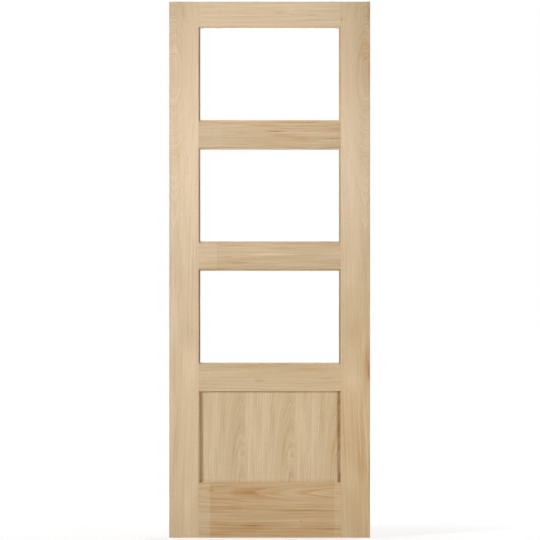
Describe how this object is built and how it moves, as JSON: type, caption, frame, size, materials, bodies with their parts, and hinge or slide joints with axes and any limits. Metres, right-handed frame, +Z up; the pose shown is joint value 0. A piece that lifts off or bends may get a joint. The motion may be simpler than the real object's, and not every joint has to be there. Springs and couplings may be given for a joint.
{
  "type": "half glazed internal door leaf",
  "caption": "Pale oak internal door leaf with square-edged clear lights stacked over a flat recessed panel, blank and ready to hang.",
  "frame": {"origin": "foot of the hinge edge, in the middle of the leaf's thickness", "axes": "+X across the leaf from the hinge edge to the latch edge, +Y through it from front to back, +Z up"},
  "size_m": [0.762, 0.035, 2.032],
  "materials": {
    "oak_veneer": "matte",
    "oak_solid": "matte",
    "clear_glass": "gloss"
  },
  "bodies": {
    "root": {"stile_left": "oak_veneer", "stile_right": "oak_veneer", "rail_top": "oak_veneer", "rail_upper": "oak_veneer", "rail_middle": "oak_veneer", "rail_lock": "oak_veneer", "rail_bottom": "oak_veneer", "panel_flat": "oak_veneer", "lipping_left": "oak_solid", "lipping_right": "oak_solid", "bead_front_upper_head": "oak_solid", "bead_front_upper_sill": "oak_solid", "bead_front_upper_left": "oak_solid", "bead_front_upper_right": "oak_solid", "bead_front_middle_head": "oak_solid", "bead_front_middle_sill": "oak_solid", "bead_front_middle_left": "oak_solid", "bead_front_middle_right": "oak_solid", "bead_front_lower_head": "oak_solid", "bead_front_lower_sill": "oak_solid", "bead_front_lower_left": "oak_solid", "bead_front_lower_right": "oak_solid", "bead_back_upper_head": "oak_solid", "bead_back_upper_sill": "oak_solid", "bead_back_upper_left": "oak_solid", "bead_back_upper_right": "oak_solid", "bead_back_middle_head": "oak_solid", "bead_back_middle_sill": "oak_solid", "bead_back_middle_left": "oak_solid", "bead_back_middle_right": "oak_solid", "bead_back_lower_head": "oak_solid", "bead_back_lower_sill": "oak_solid", "bead_back_lower_left": "oak_solid", "bead_back_lower_right": "oak_solid", "pane_upper": "clear_glass", "pane_middle": "clear_glass", "pane_lower": "clear_glass"}
  },
  "joints": []
}
